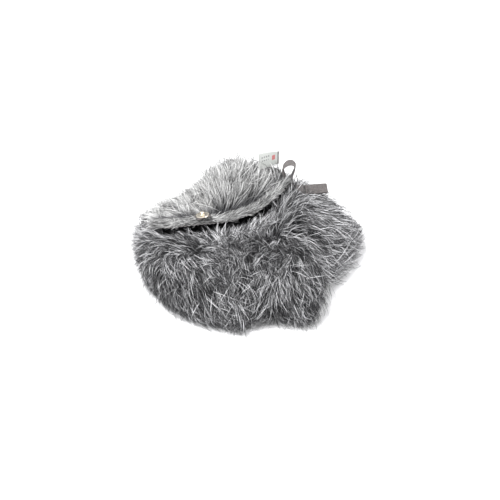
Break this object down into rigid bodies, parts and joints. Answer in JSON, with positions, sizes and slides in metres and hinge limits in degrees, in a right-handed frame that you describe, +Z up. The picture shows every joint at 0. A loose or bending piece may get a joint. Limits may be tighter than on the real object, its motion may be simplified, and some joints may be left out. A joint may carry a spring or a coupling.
{
  "type": "furry windscreen",
  "caption": "Collapsed long-pile fur cover for a ball microphone windshield, with a lined elastic mouth, a lifting upper lip, a press stud, two webbing loops and a folded label",
  "frame": {"origin": "on the floor under the middle of the resting underside", "axes": "+X along the mouth to its right end, +Y from the front to the fold at the back, +Z up"},
  "size_m": [0.1831, 0.1722, 0.0781],
  "materials": {
    "dark_fur": "long pile of mixed dark and pale grey strands",
    "light_fur": "long pile, paler grey, combed away from the mouth",
    "lining_knit": "black fine knit",
    "elastic_cord": "matte black round elastic",
    "hem_knit": "rolled grey knit edge",
    "thread": "spun grey thread",
    "webbing": "ribbed dark grey brown webbing",
    "nickel": "warm nickel plate",
    "label_satin": null
  },
  "bodies": {
    "cover": {"fur_base": "dark_fur", "fur_left_end": "dark_fur", "fur_front_left": "dark_fur", "fur_front_right": "dark_fur", "fur_right_end": "dark_fur", "lining_lower": "lining_knit", "lining_base": "lining_knit", "seam_bindings": "lining_knit", "hem_lower": "hem_knit", "hem_lower_elastic": "elastic_cord", "hem_lower_stitching": "thread", "snap_socket_patch": "webbing", "snap_socket": "nickel", "snap_socket_spring": "nickel", "snap_socket_eyelet": "nickel", "pull_loop_anchor": "webbing", "side_loop_anchor": "webbing"},
    "upper_lip": {"fur_upper_lip": "light_fur", "lining_upper": "lining_knit", "hem_upper": "hem_knit", "hem_upper_elastic": "elastic_cord", "hem_upper_stitching": "thread", "snap_stud_tab": "webbing", "snap_stud": "nickel", "snap_stud_eyelet": "nickel", "label_stitching": "thread"},
    "pull_loop": {"pull_loop": "webbing", "pull_loop_bar_tack": "thread"},
    "side_loop": {"side_loop": "webbing", "side_loop_bar_tack": "thread"},
    "label": {"label": "label_satin"}
  },
  "joints": [
    {"name": "lip_fold", "type": "hinge", "parent": "cover", "child": "upper_lip", "pos_m": [0, 0.088, 0.009], "axis": [-1, 0, 0], "range_deg": [0, 50]},
    {"name": "pull_loop_sway", "type": "hinge", "parent": "cover", "child": "pull_loop", "pos_m": [0.055, 0.046, 0.051], "axis": [0, 1, 0], "range_deg": [0, 60], "stiffness_Nm_per_rad": 0.002},
    {"name": "side_loop_lift", "type": "hinge", "parent": "cover", "child": "side_loop", "pos_m": [0.066, 0.033, 0.0478], "axis": [-0.1555, -0.766, -0.6237], "range_deg": [0, 60]},
    {"name": "label_sway", "type": "hinge", "parent": "upper_lip", "child": "label", "pos_m": [0.042, 0.06, 0.06112], "axis": [0.9903, 0.1392, 0], "range_deg": [-30, 30], "stiffness_Nm_per_rad": 0.001}
  ]
}
